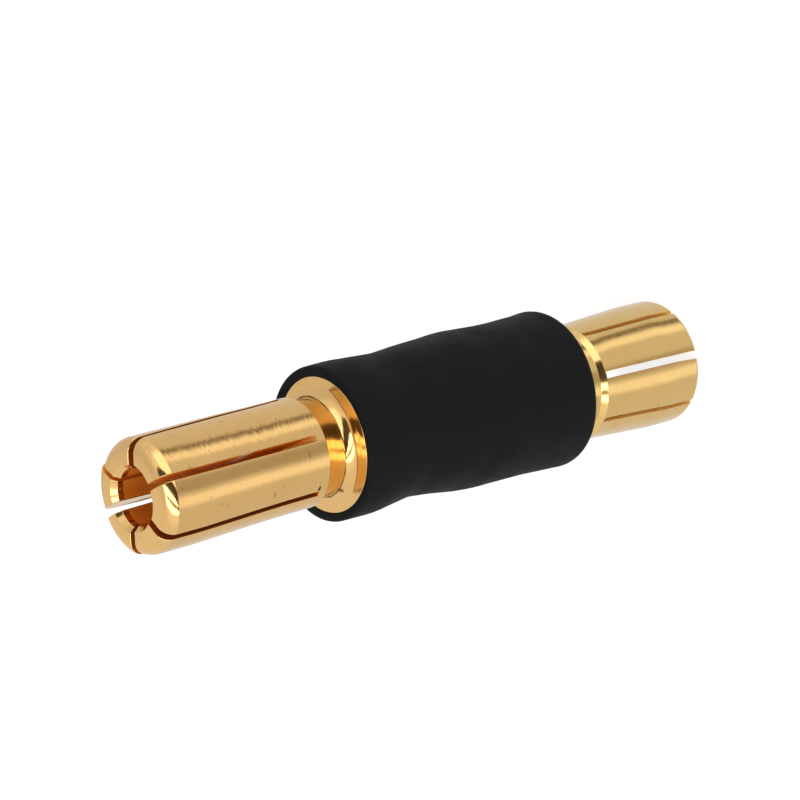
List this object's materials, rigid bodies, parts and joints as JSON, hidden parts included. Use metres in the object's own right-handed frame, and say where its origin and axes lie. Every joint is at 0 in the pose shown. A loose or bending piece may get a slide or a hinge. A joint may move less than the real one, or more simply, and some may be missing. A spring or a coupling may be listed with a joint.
{
  "type": "male-to-male bullet connector adapter",
  "caption": "Rigid power adapter: a small and a large slotted gold bullet plug back to back, with a black shrink sleeve over the soldered joint.",
  "frame": {"origin": "on the axis, at the end face of the large plug, on which the adapter stands", "axes": "+Z along the axis of the turned parts, from the large plug to the small plug"},
  "size_m": [0.0084, 0.0084, 0.035],
  "materials": {
    "gold_plate": "gold plate on turned brass, satin fingers with fine turning marks, bright necks and cones",
    "solder": "dull solder",
    "shrink_sleeve": "matte black shrunk polyolefin, slightly uneven"
  },
  "bodies": {
    "root": {"front_contact": "gold_plate", "rear_contact": "gold_plate", "solder_joint": "solder", "heat_shrink_sleeve": "shrink_sleeve"}
  },
  "joints": []
}
